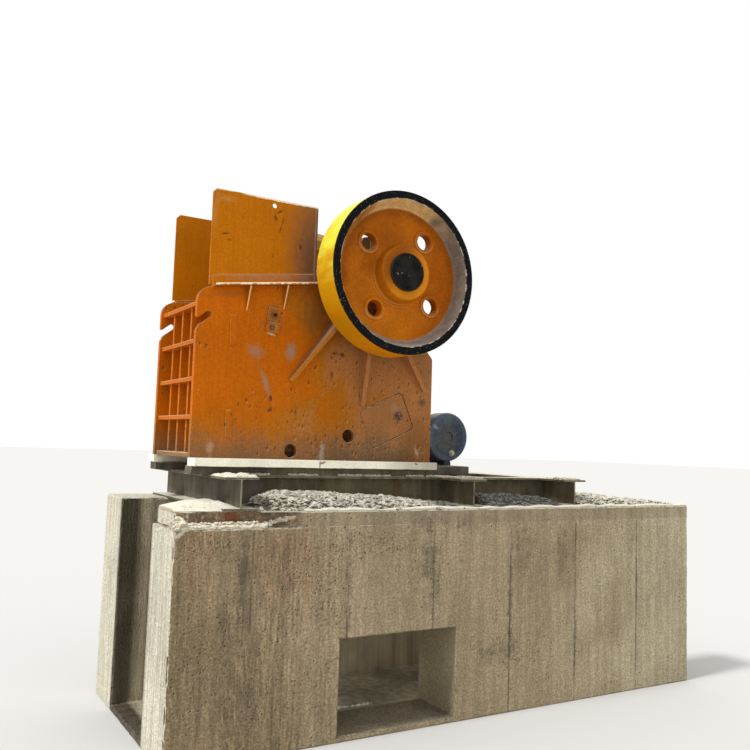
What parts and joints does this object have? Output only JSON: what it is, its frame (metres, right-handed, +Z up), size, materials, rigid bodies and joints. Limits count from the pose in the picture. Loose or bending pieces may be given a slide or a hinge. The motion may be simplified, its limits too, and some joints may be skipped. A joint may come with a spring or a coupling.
{
  "type": "jaw crusher on a concrete plinth",
  "caption": "Orange single-toggle jaw crusher with holed flywheels and a belt drive, on a steel grillage over concrete walls.",
  "frame": {"origin": "on the ground, at the centre of the plinth's footprint", "axes": "+X from the feed end towards the motor, +Y from the near flywheel towards the belt side, +Z up"},
  "size_m": [5.86, 2.25, 4.8039],
  "materials": {
    "concrete": "cast concrete, board marked, dusty and streaked",
    "beam_steel": "weathered dark paint under dust",
    "dusty_foot": "steel bar under pale stone dust",
    "orange_paint": "orange machine enamel, chipped and dusty",
    "jaw_steel": "manganese steel casting, worn",
    "shaft_steel": "turned steel",
    "black_cap": "black paint, speckled with dust",
    "wheel_paint": "iron casting in yellow-orange enamel",
    "dusty_base": "steel box under grey dust",
    "motor_blue": "dark blue machine enamel",
    "pulley_iron": "turned iron",
    "belt_rubber": "matt rubber"
  },
  "bodies": {
    "frame": {"near_pier": "concrete", "far_pier": "concrete", "near_cap": "concrete", "far_cap": "concrete", "cross_beam_feed": "beam_steel", "cross_beam_middle": "beam_steel", "cross_beam_motor": "beam_steel", "near_long_beams": "beam_steel", "far_long_beams": "beam_steel", "motor_bearers": "beam_steel", "near_rail": "beam_steel", "far_rail": "beam_steel", "near_foot": "dusty_foot", "far_foot": "dusty_foot", "near_side_plate": "orange_paint", "far_side_plate": "orange_paint", "near_ribs": "orange_paint", "far_ribs": "orange_paint", "near_top_flange": "orange_paint", "far_top_flange": "orange_paint", "front_wall": "orange_paint", "toggle_beam": "orange_paint", "rear_tie": "orange_paint", "fixed_jaw_plate": "jaw_steel", "near_cheek_plate": "jaw_steel", "far_cheek_plate": "jaw_steel", "pitman": "orange_paint", "moving_jaw_plate": "jaw_steel", "toggle_plate": "jaw_steel", "tension_rod": "shaft_steel", "tension_spring": "shaft_steel", "near_feed_plate": "orange_paint", "far_feed_plate": "orange_paint", "rear_feed_plate": "orange_paint", "near_bearing": "orange_paint", "far_bearing": "orange_paint", "motor_base": "dusty_base", "motor_body": "motor_blue", "motor_cowl": "motor_blue", "terminal_box": "motor_blue", "motor_pulley": "pulley_iron", "drive_belt": "belt_rubber"},
    "rotor": {"eccentric_shaft": "shaft_steel", "near_shaft_cap": "black_cap", "far_shaft_cap": "black_cap", "near_flywheel": "wheel_paint", "far_flywheel": "wheel_paint"}
  },
  "joints": [
    {"name": "shaft_turn", "type": "hinge", "parent": "frame", "child": "rotor", "pos_m": [-0.91, 0, 4.04], "axis": [0, 1, 0], "continuous": true}
  ]
}
